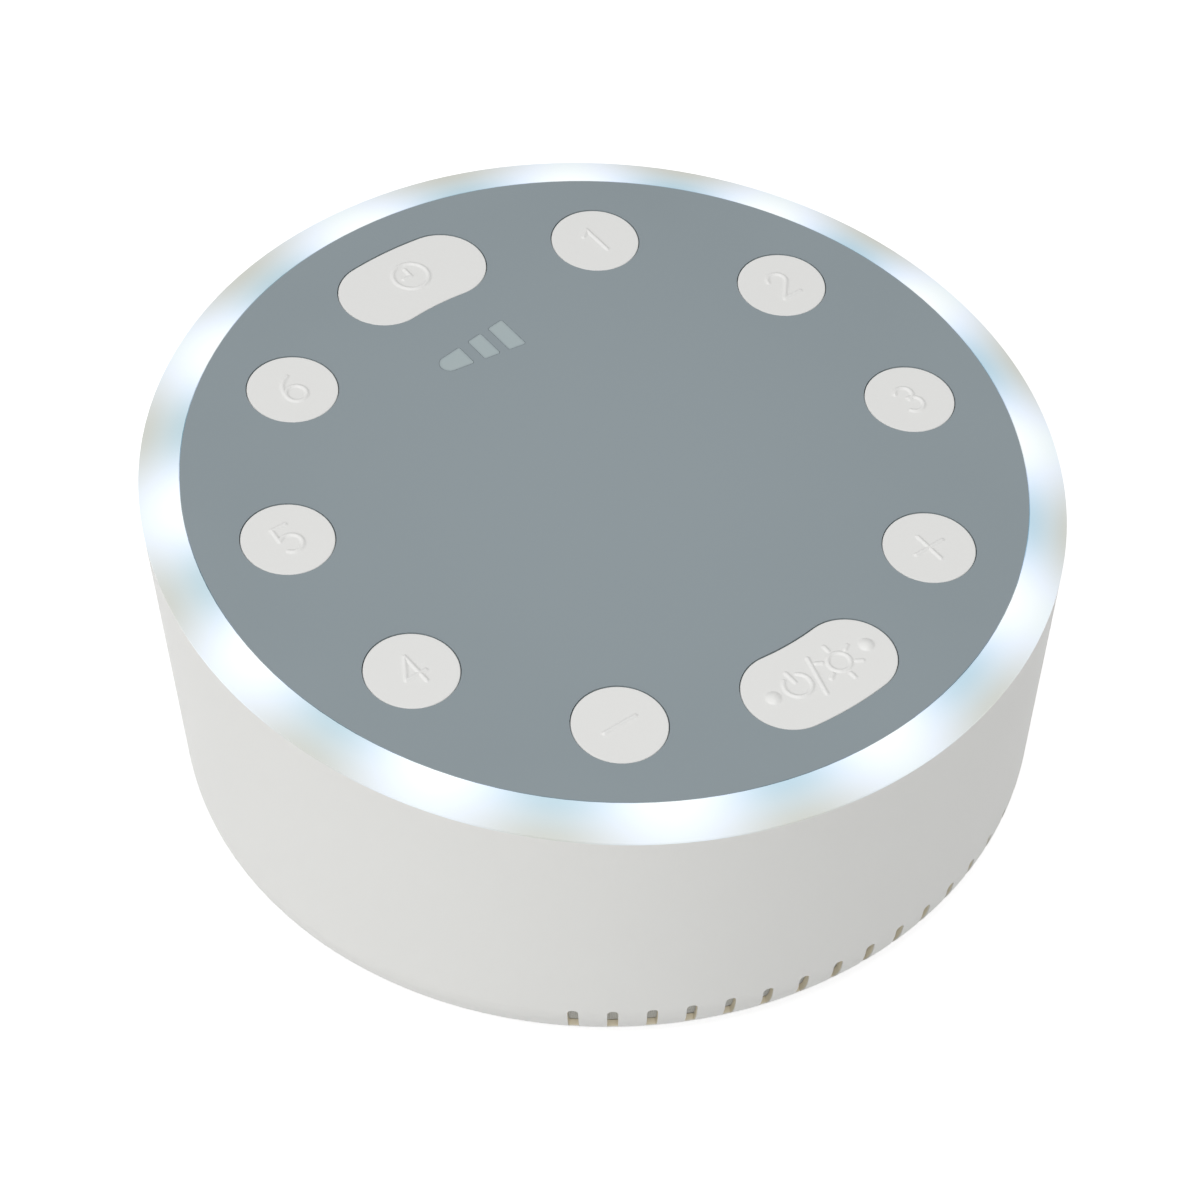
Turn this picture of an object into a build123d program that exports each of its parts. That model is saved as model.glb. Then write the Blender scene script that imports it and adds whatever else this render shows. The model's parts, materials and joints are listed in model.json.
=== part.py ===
"""White noise sound machine: a round bowl-shaped housing with a sloping key panel.

Millimetres, +Z up. The origin is on the resting surface under the middle of the
housing. The front, where the sound windows are, faces -Y, and +X runs to the right
along the signs on the keys. Everything that belongs to the sloping top is drawn in the
panel's own plane, with z = 0 on the panel's face, and then laid on the slope.
"""

import os
from math import cos, degrees, hypot, radians, sin, tan

from build123d import *

# ---------------------------------------------------------------- driving dimensions
# housing
centre_height = 52.8        # underside of the housing to the panel's face, at its centre
panel_slope = 5.6           # degrees, the panel falls towards the front
rim_radius = 65.0           # outside of the wall at the height of the panel's centre
wall_inset = 2.5            # how far the wall draws in from there to the rounded corner
corner_radius = 9.8         # rounded lower corner
wall = 2.2                  # housing wall and floor
# feet
foot_radius = 5.5
foot_height = 1.0           # how far the feet stand out of the underside
foot_recess = 0.6           # how far the feet sit in the underside
foot_play = 0.15            # between a foot and its recess
# light ring
ring_width = 5.5            # sloping face of the ring, from the panel out to the wall
ring_drop = 1.5             # fall of that face from panel to wall
ring_band = 0.3             # upright edge of the ring under its sloping face
ledge_width = 2.9           # ledge under the edge of the panel
ledge_thickness = 2.0
skirt_depth = 6.0           # from the panel's face down to the end of the skirt
skirt_thickness = 1.6
skirt_play = 0.9            # between the skirt and the housing wall at the rim
# panel
panel_thickness = 1.6
panel_play = 0.1            # between the panel's edge and the light ring
# keys
key_margin = 13.0           # from the panel's edge in to the circle that the keys stand on
key_radius = 6.5
oblong_end_radius = 6.6     # rounded ends of the oblong keys
oblong_half_angle = 6.5     # degrees from the middle of an oblong key to an end's centre
key_gap = 0.12              # all round a key in its hole
key_sink = 0.06             # key tops lie this far below the panel's face
key_edge = 0.15             # rounding of a key's top edge
key_flange = 1.2            # how far the flange reaches under the panel
key_flange_thickness = 1.0
key_flange_gap = 0.15
key_stem_radius = 2.4
key_travel = 1.0
# keypad mat with its domes
mat_inner_width = 9.9       # from the key circle to the mat's inner edge
mat_outer_width = 8.6       # from the key circle to the mat's outer edge
mat_thickness = 1.0
dome_base_radius = 4.2
dome_top_radius = 3.0
dome_height = 1.1
dome_skin = 0.5
contact_radius = 1.8
# control board, carried under the panel
board_depth = 6.0           # from the panel's face down to the board's upper side
board_thickness = 1.6
board_edge_gap = 0.4        # between the board and the skirt
board_post_inset = 8.5      # from the mat's inner edge to the middle of each board post
board_post_radius = 2.8
board_screw_radius = 1.0
board_screw_head_radius = 1.9
board_screw_length = 4.6    # from the underside of the board
# lights on the board
ring_led_count = 12
ring_led_size = (2.0, 3.0, 1.0)         # radial, round the ring, high
ring_led_inset = 1.4        # from the board's edge to the middle of a light
indicator_led_size = (1.6, 1.2, 0.7)
chip_side = 9.0
chip_height = 1.4
chip_spot = (-6.0, 4.0)
chip_legs = 11              # on each side
can_radius = 3.15
can_height = 7.5
can_spots = ((11.0, 10.5), (12.0, 3.0), (-24.0, 6.0))
speaker_socket_spot = (-6.0, -12.0)
battery_socket_spot = (6.0, -12.0)
power_socket_spot = (0.0, 33.0)
# level indicator: a wedge that grows to the right, cut into three bars
wedge_left = -7.4
wedge_right = 5.6
wedge_inset = 17.45         # from the key circle in to the middle of the wedge
wedge_tip_radius = 1.5
wedge_right_half_height = 2.95
wedge_bars = ((-7.4, -2.85), (-1.15, 1.4), (2.85, 5.6))
bar_corner_radius = 0.35
lens_play = 0.05
lens_plate_thickness = 0.8
lens_plate_margin = 1.5
# case screws, from under the feet up through housing posts into panel bosses
case_screw_inset = 0.6      # from the key circle in to the screws, midway between keys
post_radius = 4.4
post_top = 30.0
post_seat = 3.0             # material between the screw's head and the post's top
boss_radius = 4.0
boss_play = 0.6             # round a boss where it passes the board and the mat
case_screw_radius = 1.5
case_screw_head_radius = 2.8
case_screw_head_height = 2.0
case_screw_length = 15.0
screw_play = 0.1
head_play = 0.4
# sound openings: windows in the lower edge of the wall, slots in the floor under the cone
window_count = 18
window_pitch = 5.0          # degrees
window_width = 1.5
window_bottom = 3.6         # outer edge of a window's sill above the underside
window_sill_slope = 45.0    # degrees, the sill falls towards the outside
window_top = 9.6            # upper edge of a window above the underside
window_corner_radius = 0.6
screen_wall = 1.0           # wall left in front of the dust screen behind the windows
screen_thickness = 0.5
screen_play = 0.05
screen_top = 11.0           # upper edge of the screen above the underside
screen_overlap = 4.0        # degrees from the middle of the last window to the screen's end
grille_slots = 9
grille_slot_width = 1.6
grille_margin = 3.0         # from the speaker's opening in to the ends of the slots
# speaker, facing down, a 40 mm driver
speaker_radius = 20.0
speaker_wall_gap = 3.2      # least room between the front wall and the speaker
speaker_seat_height = 3.0
gasket_thickness = 0.8
flange_thickness = 1.0
flange_width = 3.9
basket_height = 6.5         # flange to back ring
basket_skin = 0.8
basket_windows = 6
surround_width = 2.8
cone_inner_radius = 6.0
cone_depth = 4.5
cone_skin = 0.4
coil_skin = 0.5
coil_height = 5.0
coil_gap = 0.4
pole_radius = 4.9
magnet_radius = 12.5
magnet_height = 4.5
pole_plate_radius = 11.0
pole_plate_thickness = 1.5
speaker_screw_radius = 0.9
speaker_screw_head_radius = 1.5
speaker_screw_length = 4.2
terminal_length = 9.0
terminal_depth = 3.0
terminal_thickness = 1.0
# battery bay, opened from below
cell_radius = 7.15
cell_length = 50.5
nipple_radius = 2.75
nipple_length = 1.5
cell_count = 3
cell_gap = 0.4
bay_play = 0.45             # between the cells and the bay's walls
bay_wall = 1.4
contact_spring_length = 6.7
contact_thickness = 0.5
contact_height = 11.0
contact_width = 11.0
contact_tab_width = 3.0
contact_tab_rise = 3.0      # above the bay's ceiling
door_sill = 0.6             # how far the floor reaches in under the ends of the bay
door_gap = 0.3
hinge_pin_radius = 0.6
hinge_play = 0.05
hinge_pin_reach = 1.4
latch_width = 8.0
latch_height = 2.4
latch_thickness = 1.0
latch_set_back = 0.3
grip_width = 14.0
grip_radius = 2.2
grip_inset = 3.0            # from the door's front edge to the middle of the grip
grip_depth = 0.7
# power board with its inlet in the rear wall
inlet_height = 14.5         # middle of the inlet above the resting surface
inlet_width = 8.9
inlet_thickness = 3.2
inlet_depth = 7.3
inlet_set_back = 0.5        # mouth of the inlet behind the wall's outer face
inlet_opening_play = 0.25
power_board_width = 26.0
power_board_length = 12.5
power_board_thickness = 1.2
power_board_set_back = 4.6  # rear edge of the power board behind the inlet's mouth
charge_chip_side = 5.0
charge_chip_inset = 2.0     # from the power board's front edge
power_post_x = 9.5
power_post_radius = 2.6
power_screw_radius = 1.0
power_screw_head_radius = 1.8
power_screw_length = 6.0
# wires
wire_radius = 0.65
wire_spread = 1.6           # each wire of a pair from the middle of its connector
socket_run = 8.0            # straight run of a wire at each end
connector_size = (8.0, 5.0, 6.0)
# cutters
over = 5.0                  # how far a cutter reaches past what it cuts

# ------------------------------------------------------------------- worked-out sizes
slope = radians(panel_slope)
top_height = foot_height + centre_height
top_plane = Plane(origin=(0, 0, top_height), x_dir=(1, 0, 0), z_dir=(0, -sin(slope), cos(slope)))
corner_height = foot_height + corner_radius
base_radius = rim_radius - wall_inset
draft = (rim_radius - base_radius) / (top_height - corner_height)
clear_height = top_height + rim_radius * tan(slope) + over
floor_top = foot_height + wall
pocket_radius = rim_radius - ring_width
panel_radius = pocket_radius - panel_play
key_circle_radius = panel_radius - key_margin
mat_inner_radius = key_circle_radius - mat_inner_width
wedge_centre_y = key_circle_radius - wedge_inset
mat_outer_radius = key_circle_radius + mat_outer_width
seam_depth = ring_drop + ring_band
ledge_inner_radius = pocket_radius - ledge_width
ledge_depth = panel_thickness + ledge_thickness
skirt_outer_radius = rim_radius - wall - skirt_play
skirt_inner_radius = skirt_outer_radius - skirt_thickness
board_radius = skirt_inner_radius - board_edge_gap
board_under = board_depth + board_thickness
mat_top_depth = board_depth - mat_thickness
dome_top_depth = mat_top_depth - dome_height
flange_top_depth = panel_thickness + key_flange_gap
flange_under_depth = flange_top_depth + key_flange_thickness
board_post_reach = mat_inner_radius - board_post_inset
board_spots = [(board_post_reach * cos(a), board_post_reach * sin(a))
               for a in (radians(45 + 90 * k) for k in range(4))]
screw_seat_height = post_top - post_seat

# keys in clockwise order from the back, with the angle at which each stands
key_order = ["key_timer", "key_sound_1", "key_sound_2", "key_sound_3", "key_volume_up",
             "key_power", "key_volume_down", "key_sound_4", "key_sound_5", "key_sound_6"]
key_pitch = 360.0 / len(key_order)
key_angle = {name: 90.0 - place * key_pitch for place, name in enumerate(key_order)}
oblong_keys = ["key_timer", "key_power"]
case_screw_reach = key_circle_radius - case_screw_inset
case_screw_angle = radians(key_angle["key_timer"] - 1.5 * key_pitch)
screw_spots = [(side_x * case_screw_reach * cos(case_screw_angle),
                side_y * case_screw_reach * sin(case_screw_angle))
               for side_x in (-1, 1) for side_y in (-1, 1)]

# the run of parts along Y: inlet, power board, battery bay and speaker, evenly spaced
inlet_wall_radius = base_radius + draft * (inlet_height - corner_height)
inlet_mouth_y = inlet_wall_radius - inlet_set_back
power_board_rear = inlet_mouth_y - power_board_set_back
power_board_front = power_board_rear - power_board_length
cell_pitch = 2 * cell_radius + cell_gap
bay_length = cell_count * cell_pitch - cell_gap + 2 * bay_play
front_limit = wall + speaker_wall_gap - base_radius
spare_length = power_board_front - front_limit - 2 * speaker_radius - bay_length - 2 * bay_wall
spacing = spare_length / 3
bay_rear = power_board_front - spacing - bay_wall
bay_front = bay_rear - bay_length
speaker_y = front_limit + spacing + speaker_radius
flange_inner_radius = speaker_radius - flange_width


# ---------------------------------------------------------------------- small helpers
def upright(radius, low, high, x=0.0, y=0.0):
    """A cylinder that stands between two heights."""
    return Pos(x, y, (low + high) / 2) * Cylinder(radius, high - low)


def tube(outer, inner, low, high, x=0.0, y=0.0):
    """A plain ring that stands between two heights."""
    return upright(outer, low, high, x, y) - upright(inner, low - 1, high + 1, x, y)


def block(x_span, y_span, z_span):
    """A box between two x, two y and two z values."""
    sizes = [span[1] - span[0] for span in (x_span, y_span, z_span)]
    middles = [(span[0] + span[1]) / 2 for span in (x_span, y_span, z_span)]
    return Pos(*middles) * Box(*sizes)


def lying(radius, x_from, x_to, y, z):
    """A cylinder along X."""
    return Pos((x_from + x_to) / 2, y, z) * Rot(0, 90, 0) * Cylinder(radius, x_to - x_from)


def turned(points, x=0.0, y=0.0):
    """A solid turned about a vertical line from (radius, height) points."""
    return Pos(x, y, 0) * revolve(Plane.XZ * make_face(Polyline(*points, close=True)), Axis.Z)


def on_slope(shape):
    """Lay a shape drawn in the panel's own plane on the sloping top."""
    return top_plane.location * shape


def polar(radius, angle):
    return (radius * cos(radians(angle)), radius * sin(radians(angle)))


def joined(shapes):
    """Separate solids kept as one group."""
    return Compound(children=[solid for shape in shapes for solid in shape.solids()])


def bowl(inset):
    """The housing's outer form, or with an inset the space inside its wall."""
    low = foot_height + inset
    across = inset * hypot(1, draft)
    low_radius = base_radius + draft * (low - corner_height) - across
    high_radius = base_radius + draft * (clear_height - corner_height) - across
    outline = Polygon((0, low), (low_radius, low), (high_radius, clear_height),
                      (0, clear_height), align=None)
    corner = outline.vertices().sort_by_distance(Vector(low_radius, low, 0))[0]
    outline = fillet(corner, corner_radius - inset)
    return revolve(Plane.XZ * outline, Axis.Z)


def wire(points, radius=wire_radius):
    """A wire along straight runs, with an arc at each bend as large as the runs allow."""
    points = [Vector(*p) for p in points]
    bends = []
    for before, here, after in zip(points, points[1:], points[2:]):
        turn = radians((here - before).get_angle(after - here))
        shorter = min((here - before).length, (after - here).length)
        bends.append(0.45 * shorter / tan(turn / 2))
    path = FilletPolyline(*points, radius=bends)
    section = Plane(origin=path @ 0, z_dir=path % 0) * Circle(radius)
    return sweep(section, path=path)


# ------------------------------------------------------------------------------- keys
def oblong_outline(margin):
    """An arc-shaped slot at 12 o'clock that follows the key circle."""
    reach = oblong_end_radius + margin
    far = 3 * key_circle_radius
    left, right = 90 + oblong_half_angle, 90 - oblong_half_angle
    band = Circle(key_circle_radius + reach) - Circle(key_circle_radius - reach)
    wedge = Polygon((0, 0), polar(far, right), polar(far, left), align=None)
    ends = [Pos(*polar(key_circle_radius, angle)) * Circle(reach) for angle in (left, right)]
    return (band & wedge) + ends[0] + ends[1]


def key_outline(name, margin):
    """A key's outline in the panel's plane, grown by a margin."""
    if name in oblong_keys:
        return Rot(0, 0, key_angle[name] - 90) * oblong_outline(margin)
    return Pos(*polar(key_circle_radius, key_angle[name])) * Circle(key_radius + margin)


def stem_spots(name):
    """Where a key presses on the mat: once under a round key, twice under an oblong one."""
    if name not in oblong_keys:
        return [polar(key_circle_radius, key_angle[name])]
    angles = [key_angle[name] + side * oblong_half_angle for side in (-1, 1)]
    return [polar(key_circle_radius, angle) for angle in angles]


def slab(outline, high, low):
    """An outline in the panel's plane, made solid between two depths below its face."""
    return Pos(0, 0, -low) * extrude(outline, low - high)


def make_key(name):
    """A key cap with a flange that keeps it under the panel, and stems to its domes."""
    cap = slab(key_outline(name, 0), key_sink, flange_under_depth)
    top_edges = cap.edges().group_by(Axis.Z)[-1]
    cap = fillet(top_edges, key_edge)
    key = cap + slab(key_outline(name, key_gap + key_flange), flange_top_depth, flange_under_depth)
    for x, y in stem_spots(name):
        key += upright(key_stem_radius, -dome_top_depth, -flange_under_depth, x, y)
    return on_slope(key)


dome_spots = [spot for name in key_order for spot in stem_spots(name)]


def make_keypad_mat():
    """A silicone ring on the board, with a hollow dome under every key stem."""
    mat = tube(mat_outer_radius, mat_inner_radius, -board_depth, -mat_top_depth)
    slant = (dome_base_radius - dome_top_radius) / dome_height
    hollow_low = dome_base_radius - dome_skin + slant * mat_thickness
    for x, y in dome_spots:
        mat += turned([(0, -mat_top_depth), (dome_base_radius, -mat_top_depth),
                       (dome_top_radius, -dome_top_depth), (0, -dome_top_depth)], x, y)
        mat -= turned([(0, -board_depth), (hollow_low, -board_depth),
                       (dome_top_radius - dome_skin, -dome_top_depth - dome_skin),
                       (0, -dome_top_depth - dome_skin)], x, y)
    mat = on_slope(mat)
    for x, y in screw_spots:
        mat -= upright(boss_radius + boss_play, 0, clear_height, x, y)
    return mat


def make_key_contacts():
    """The carbon pills under the domes."""
    high = -dome_top_depth - dome_skin
    low = -board_depth + key_travel
    return joined([on_slope(upright(contact_radius, low, high, x, y)) for x, y in dome_spots])


# ------------------------------------------------------------- panel, ring, indicator
def wedge_bar(index, margin):
    """One bar of the level indicator: a slice of a wedge with a rounded left tip."""
    tip_x = wedge_left + wedge_tip_radius
    right = wedge_right
    body = Polygon((tip_x, wedge_centre_y - wedge_tip_radius),
                   (right, wedge_centre_y - wedge_right_half_height),
                   (right, wedge_centre_y + wedge_right_half_height),
                   (tip_x, wedge_centre_y + wedge_tip_radius), align=None)
    whole = body + Pos(tip_x, wedge_centre_y) * Circle(wedge_tip_radius)
    low, high = wedge_bars[index]
    tall = 4 * wedge_right_half_height
    slice_ = Pos((low + high) / 2, wedge_centre_y) * Rectangle(high - low, tall)
    bar = (whole & slice_).face()
    straight = [corner for corner in bar.vertices() if corner.X > tip_x]
    bar = fillet(straight, bar_corner_radius)
    return offset(bar, amount=margin) if margin else bar


def make_top_panel():
    """The grey key panel, with board posts and four long bosses for the case screws."""
    panel = slab(Circle(panel_radius), 0, panel_thickness)
    for name in key_order:
        panel -= slab(key_outline(name, key_gap), -1, panel_thickness + 1)
    for index in range(len(wedge_bars)):
        panel -= slab(wedge_bar(index, lens_play), -1, panel_thickness + 1)
    for x, y in board_spots:
        panel += upright(board_post_radius, -board_depth, -panel_thickness, x, y)
        panel -= upright(board_screw_radius + screw_play, -board_depth - 1,
                         -board_under + board_screw_length + 0.5, x, y)
    panel = on_slope(panel)
    under_panel = on_slope(slab(Circle(2 * panel_radius), panel_thickness / 2, 3 * top_height))
    for x, y in screw_spots:
        boss = upright(boss_radius, post_top, clear_height, x, y) & under_panel
        panel += boss
        pilot_top = screw_seat_height + case_screw_length + 1
        panel -= upright(case_screw_radius + screw_play, post_top - 1, pilot_top, x, y)
    return panel


def make_light_ring():
    """The opal ring: sloping face, ledge under the panel and skirt round the lights."""
    deep = 3 * top_height
    wide = 2 * rim_radius
    fall = ring_drop / (rim_radius - pocket_radius)
    crown = turned([(0, 0), (pocket_radius, 0), (wide, -fall * (wide - pocket_radius)),
                    (wide, -deep), (0, -deep)])
    band = bowl(0) & on_slope(crown & upright(wide + 1, -seam_depth, 1))
    ring = band - on_slope(upright(pocket_radius, -panel_thickness, 1))
    ring -= on_slope(upright(ledge_inner_radius, -deep, 1))
    ring += on_slope(tube(skirt_outer_radius, ledge_inner_radius, -ledge_depth, -panel_thickness))
    ring += on_slope(tube(skirt_outer_radius, skirt_inner_radius, -skirt_depth, -ledge_depth))
    return ring


def make_indicator_lens():
    """Clear bars that fill the three windows, on one plate under the panel."""
    plate = block((wedge_left - lens_plate_margin, wedge_right + lens_plate_margin),
                  (wedge_centre_y - wedge_right_half_height - lens_plate_margin,
                   wedge_centre_y + wedge_right_half_height + lens_plate_margin),
                  (-panel_thickness - lens_plate_thickness, -panel_thickness))
    for index in range(len(wedge_bars)):
        plate += slab(wedge_bar(index, 0), 0, panel_thickness)
    return on_slope(plate)


# -------------------------------------------------------------------------- the board
def make_control_board():
    board = upright(board_radius, -board_under, -board_depth)
    for x, y in board_spots:
        board -= upright(board_screw_radius + screw_play, -board_under - 1, -board_depth + 1, x, y)
    board = on_slope(board)
    for x, y in screw_spots:
        board -= upright(boss_radius + boss_play, 0, clear_height, x, y)
    return board


def make_ring_leds():
    """Lights round the edge of the board that shine up into the ring."""
    radial, along, high = ring_led_size
    led = Pos(board_radius - ring_led_inset, 0, -board_depth + high / 2) * Box(radial, along, high)
    step = 360 / ring_led_count
    return joined([on_slope(Rot(0, 0, k * step) * led) for k in range(ring_led_count)])


def make_indicator_leds():
    """One light under each bar of the level indicator."""
    long, wide, high = indicator_led_size
    leds = [Pos((low + right) / 2, wedge_centre_y, -board_depth + high / 2) * Box(long, wide, high)
            for low, right in wedge_bars]
    return joined([on_slope(led) for led in leds])


def make_board_screws():
    """Round-headed screws up through the board into the panel's posts."""
    head_low = -board_under - 1.3
    screws = []
    for x, y in board_spots:
        screw = upright(board_screw_head_radius, head_low, -board_under, x, y)
        screw += upright(board_screw_radius, -board_under, -board_under + board_screw_length, x, y)
        screws.append(on_slope(screw))
    return joined(screws)


def make_sound_chip():
    """The sound chip under the board: a flat square body with legs on four sides."""
    x, y = chip_spot
    body = Pos(x, y, -board_under - 0.1 - chip_height / 2) * Box(chip_side, chip_side, chip_height)
    pitch = chip_side / (chip_legs + 1)
    leg = Pos(chip_side / 2 + 0.5, 0, -board_under - 0.25) * Box(1.2, 0.3, 0.5)
    for side in range(4):
        for k in range(chip_legs):
            along = (k - (chip_legs - 1) / 2) * pitch
            body += Pos(x, y, 0) * Rot(0, 0, 90 * side) * Pos(0, along, 0) * leg
    return on_slope(body)


def make_board_capacitors():
    """Can capacitors that hang from the board."""
    cans = []
    for x, y in can_spots:
        can = upright(can_radius, -board_under - can_height, -board_under, x, y)
        can -= tube(can_radius + 1, can_radius - 0.25, -board_under - 1.6, -board_under - 1.1, x, y)
        cans.append(on_slope(can))
    return joined(cans)


def make_wire_connectors():
    """White plug connectors under the board, one for each pair of wires."""
    long, wide, high = connector_size
    spots = (speaker_socket_spot, battery_socket_spot, power_socket_spot)
    boxes = [Pos(x, y, -board_under - high / 2) * Box(long, wide, high) for x, y in spots]
    return joined([on_slope(box) for box in boxes])


# ---------------------------------------------------------------------------- speaker
seat_top = floor_top + speaker_seat_height
flange_low = seat_top + gasket_thickness
flange_top = flange_low + flange_thickness
back_ring_low = flange_low + basket_height
back_ring_top = back_ring_low + flange_thickness
plate_top = back_ring_top + pole_plate_thickness
magnet_top = plate_top + magnet_height
yoke_top = magnet_top + pole_plate_thickness
coil_outer_radius = cone_inner_radius - 0.1
cone_edge_z = flange_low + flange_thickness / 2
cone_edge_radius = flange_inner_radius - surround_width
speaker_screw_circle = (flange_inner_radius + basket_skin + speaker_radius) / 2


def at_speaker(points):
    return turned(points, 0, speaker_y)


def make_speaker_basket():
    """The pressed steel basket: flange, cone with windows, and ring that holds the magnet."""
    ring_outer = pole_plate_radius + 1
    ring_inner = coil_outer_radius + coil_gap
    basket = at_speaker([
        (flange_inner_radius, flange_low), (speaker_radius, flange_low),
        (speaker_radius, flange_top), (flange_inner_radius + basket_skin, flange_top),
        (ring_outer, back_ring_top), (ring_inner, back_ring_top), (ring_inner, back_ring_low),
        (ring_outer - basket_skin, back_ring_low), (flange_inner_radius, flange_top)])
    window_low, window_high = flange_top + 0.8, back_ring_low - 0.8
    for k in range(basket_windows):
        window = block((ring_outer - 1, speaker_radius), (-3.2, 3.2), (window_low, window_high))
        basket -= Pos(0, speaker_y, 0) * Rot(0, 0, (k + 0.5) * 360 / basket_windows) * window
    for x, y in speaker_screw_spots():
        basket -= upright(speaker_screw_radius + screw_play, flange_low - 1, flange_top + 1, x, y)
    return basket


def speaker_screw_spots():
    angles = [45 + 90 * k for k in range(4)]
    spots = [polar(speaker_screw_circle, angle) for angle in angles]
    return [(x, y + speaker_y) for x, y in spots]


def make_speaker_gasket():
    gasket = tube(speaker_radius, flange_inner_radius, seat_top, flange_low, 0, speaker_y)
    for x, y in speaker_screw_spots():
        gasket -= upright(speaker_screw_radius + screw_play, seat_top - 1, flange_low + 1, x, y)
    return gasket


def make_speaker_surround():
    """The rubber half roll between basket and cone, bulging towards the floor's slots."""
    middle = (flange_inner_radius + cone_edge_radius) / 2
    outer = surround_width / 2
    inner = outer - cone_skin
    section = Pos(middle, cone_edge_z) * (Circle(outer) - Circle(inner))
    section &= Pos(middle, cone_edge_z - outer) * Rectangle(2 * outer + 1, 2 * outer)
    return Pos(0, speaker_y, 0) * revolve(Plane.XZ * section, Axis.Z)


def make_speaker_cone():
    return at_speaker([
        (cone_edge_radius, cone_edge_z), (cone_edge_radius, cone_edge_z + cone_skin),
        (cone_inner_radius, cone_edge_z + cone_depth + cone_skin),
        (cone_inner_radius, cone_edge_z + cone_depth)])


def make_speaker_dust_cap():
    """A shallow dome over the middle of the cone."""
    rise = 2.0
    base = cone_inner_radius
    ball = (base ** 2 + rise ** 2) / (2 * rise)
    low = cone_edge_z + cone_depth - rise
    shell = Sphere(ball) - Sphere(ball - cone_skin)
    shell = Pos(0, speaker_y, low + ball) * shell
    return shell & upright(base, low - 1, low + rise, 0, speaker_y)


def make_voice_coil():
    low = cone_edge_z + cone_depth
    return tube(coil_outer_radius, coil_outer_radius - coil_skin, low, low + coil_height,
                0, speaker_y)


def make_speaker_front_plate():
    return tube(pole_plate_radius, coil_outer_radius + coil_gap, back_ring_top, plate_top,
                0, speaker_y)


def make_speaker_magnet():
    return tube(magnet_radius, coil_outer_radius + 1.5, plate_top, magnet_top, 0, speaker_y)


def make_speaker_yoke():
    """Back plate with the pole that stands inside the voice coil."""
    yoke = upright(pole_plate_radius, magnet_top, yoke_top, 0, speaker_y)
    return yoke + upright(pole_radius, back_ring_top, magnet_top, 0, speaker_y)


def make_speaker_screws():
    screws = []
    for x, y in speaker_screw_spots():
        screw = upright(speaker_screw_head_radius, flange_top, flange_top + 1.2, x, y)
        screw += upright(speaker_screw_radius, flange_top - speaker_screw_length, flange_top, x, y)
        screws.append(screw)
    return joined(screws)


terminal_y = speaker_y + speaker_screw_circle


def make_speaker_terminals():
    """The strip on the flange where the two wires are soldered."""
    return block((-terminal_length / 2, terminal_length / 2),
                 (terminal_y - terminal_depth / 2, terminal_y + terminal_depth / 2),
                 (flange_top, flange_top + terminal_thickness))


# -------------------------------------------------------------------------- batteries
bay_half_length = (cell_length + contact_spring_length) / 2 + contact_thickness
cell_height = floor_top + 0.3 + cell_radius
bay_ceiling = cell_height + cell_radius + 0.4
cell_ys = [bay_front + bay_play + cell_radius + k * cell_pitch for k in range(cell_count)]
plate_face = bay_half_length - contact_thickness
door_half_length = bay_half_length - door_sill - door_gap
opening_half_length = bay_half_length - door_sill
hinge_y = bay_rear - door_gap - wall / 2
hinge_z = foot_height + wall / 2


def facing(index):
    """+1 where a cell's raised end points to +X, -1 where it is turned round."""
    return 1 if index % 2 == 0 else -1


def make_cell(index):
    """An AA cell, with its raised end away from its contact spring."""
    way = facing(index)
    flat_end = -way * (plate_face - contact_spring_length)
    shoulder = flat_end + way * (cell_length - nipple_length)
    tip = flat_end + way * cell_length
    y = cell_ys[index]
    body = lying(cell_radius, min(flat_end, shoulder), max(flat_end, shoulder), y, cell_height)
    body = fillet(body.edges(), 0.4)
    return body + lying(nipple_radius, min(shoulder, tip), max(shoulder, tip), y, cell_height)


def make_battery_contacts():
    """End plates of the bay: two that join neighbouring cells, two with a wire tab."""
    half_width, half_height = contact_width / 2, contact_height / 2
    z_span = (cell_height - half_height, cell_height + half_height)
    plates = []
    for end in (-1, 1):
        x_span = sorted((end * plate_face, end * bay_half_length))
        first = 0 if end > 0 else 1
        y_span = (cell_ys[first] - half_width, cell_ys[first + 1] + half_width)
        plates.append(block(x_span, y_span, z_span))
        lone = cell_ys[0] if end < 0 else cell_ys[cell_count - 1]
        plate = block(x_span, (lone - half_width, lone + half_width), z_span)
        tab_y = (lone - contact_tab_width / 2, lone + contact_tab_width / 2)
        tab_z = (cell_height, bay_ceiling + bay_wall + contact_tab_rise)
        plates.append(plate + block(x_span, tab_y, tab_z))
    return joined(plates)


def make_battery_springs():
    """Folded leaf springs that press on the flat ends of the cells."""
    long, half_foot, half_nose = contact_spring_length, 4.5, 1.5
    skin = 0.4
    outer = Polygon((0, -half_foot), (long, -half_nose), (long, half_nose), (0, half_foot), align=None)
    inner = Polygon((-1, -half_foot + skin), (0, -half_foot + skin), (long - skin, -half_nose + skin / 2),
                    (long - skin, half_nose - skin / 2), (0, half_foot - skin),
                    (-1, half_foot - skin), align=None)
    leaf = extrude(Plane.XZ * (outer - inner), 3.0, both=True)
    springs = []
    for index in range(cell_count):
        way = facing(index)
        place = Pos(-way * plate_face, cell_ys[index], cell_height)
        turn = Rot(0, 0, 0 if way > 0 else 180)
        springs.append(place * turn * leaf)
    return joined(springs)


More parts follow.
